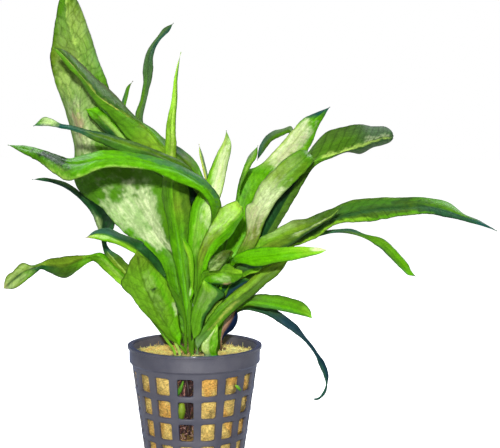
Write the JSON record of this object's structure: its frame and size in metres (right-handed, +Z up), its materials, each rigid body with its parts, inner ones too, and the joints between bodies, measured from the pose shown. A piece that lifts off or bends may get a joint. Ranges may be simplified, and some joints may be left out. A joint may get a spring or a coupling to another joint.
{
  "type": "potted java fern",
  "caption": "Java fern for an aquarium, with arching, netted leaves on thin stalks from a creeping stem, set in rock wool in a small net pot.",
  "frame": {"origin": "centre of the underside of the net pot, on the surface that it stands on", "axes": "+Z up along the pot's axis, -Y towards the front, +X to the right as seen from the front"},
  "size_m": [0.179, 0.0924, 0.1907],
  "materials": {
    "pot_plastic": "satin",
    "rock_wool": "matte",
    "leaf_mature": "satin",
    "leaf_bright": "satin",
    "leaf_pale": "satin",
    "leaf_silver": "satin",
    "leaf_dark": "satin",
    "leaf_dry": "matte",
    "rhizome": "matte",
    "root": "matte",
    "shoot": "satin"
  },
  "bodies": {
    "root": {"pot": "pot_plastic", "rock_wool": "rock_wool", "rhizome": "rhizome", "roots": "root", "shoot_bulb": "shoot", "shoot_left": "shoot", "shoot_right": "shoot", "leaf_tall": "leaf_mature", "leaf_arching": "leaf_bright", "leaf_folded": "leaf_mature", "leaf_strap": "leaf_mature", "leaf_tongue": "leaf_mature", "leaf_lance": "leaf_pale", "leaf_sickle": "leaf_dark", "leaf_sliver": "leaf_dark", "leaf_silver": "leaf_pale", "leaf_needle": "leaf_pale", "leaf_blunt": "leaf_bright", "leaf_inner": "leaf_bright", "leaf_spear": "leaf_mature", "leaf_hook": "leaf_dark", "leaf_rear": "leaf_silver", "leaf_front": "leaf_silver", "leaf_curled": "leaf_dark", "leaf_crease": "leaf_mature", "leaf_long": "leaf_mature", "leaf_droop": "leaf_bright", "leaf_green": "leaf_bright", "leaf_under": "leaf_mature", "leaf_ragged": "leaf_bright", "leaf_young": "leaf_pale", "leaf_lower": "leaf_silver", "leaf_shade": "leaf_dark", "leaf_olive": "leaf_mature", "leaf_yellow": "leaf_pale", "leaf_right_low": "leaf_bright", "leaf_trailing": "leaf_dark", "leaf_dry": "leaf_dry", "leaf_edge": "leaf_dark", "leaf_small_left": "leaf_bright", "leaf_twisted": "leaf_mature", "leaf_left_front": "leaf_bright", "leaf_stub": "leaf_silver", "leaf_bud": "leaf_bright"}
  },
  "joints": []
}
